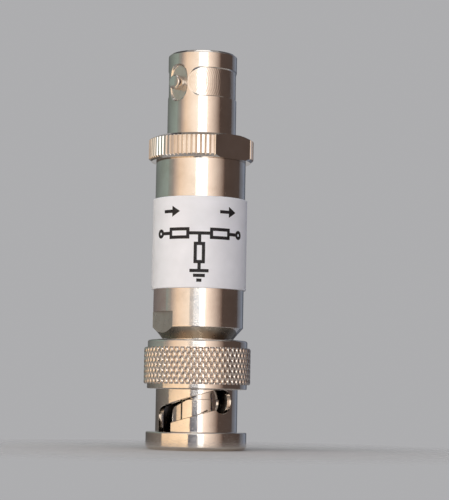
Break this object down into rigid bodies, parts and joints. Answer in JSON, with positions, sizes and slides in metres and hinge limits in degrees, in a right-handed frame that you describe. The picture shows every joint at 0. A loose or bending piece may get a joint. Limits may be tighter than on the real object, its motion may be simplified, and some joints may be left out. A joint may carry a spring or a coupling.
{
  "type": "rf attenuator",
  "caption": "In-line coaxial attenuator: plated tube body with a film label, a bayonet jack at one end and a bayonet plug with a knurled, spring-loaded coupling nut at the other.",
  "frame": {"origin": "centre of the coupling nut's mouth, the face that the part stands on", "axes": "+Z along the connector axis towards the jack; -Y is the side the picture shows"},
  "size_m": [0.0146, 0.0148, 0.0548],
  "materials": {
    "nickel_plate": "polished",
    "label_film": "satin",
    "gold_plate": "polished",
    "ptfe": "satin",
    "bare_brass": "satin",
    "spring_steel": "satin",
    "tinned_steel": "satin",
    "silicone_rubber": "matte",
    "resistor_ceramic": "matte"
  },
  "bodies": {
    "attenuator": {"jack_shell": "nickel_plate", "jack_insulator": "ptfe", "jack_contact": "gold_plate", "jack_lock_ring": "bare_brass", "housing": "nickel_plate", "label_sleeve": "label_film", "upper_spacer": "bare_brass", "upper_resistor_rod": "resistor_ceramic", "upper_resistor_caps": "tinned_steel", "shunt_disc": "resistor_ceramic", "shunt_hub": "gold_plate", "lower_spacer": "bare_brass", "lower_resistor_rod": "resistor_ceramic", "lower_resistor_caps": "tinned_steel", "plug_body": "nickel_plate", "plug_insulator": "ptfe", "plug_pin": "gold_plate", "plug_lock_ring": "bare_brass", "plug_gasket": "silicone_rubber", "wave_washer": "spring_steel"},
    "washer": {"thrust_washer": "spring_steel"},
    "nut": {"coupling_nut": "nickel_plate"}
  },
  "joints": [
    {"name": "nut_float", "type": "slide", "parent": "attenuator", "child": "washer", "axis": [0, 0, -1], "range_m": [0, 0.0005], "stiffness_N_per_m": 2000, "springref_m": -0.0005, "deforming": ["wave_washer"]},
    {"name": "nut_turn", "type": "hinge", "parent": "washer", "child": "nut", "pos_m": [0, 0, 0], "axis": [0, 0, 1], "continuous": true}
  ]
}
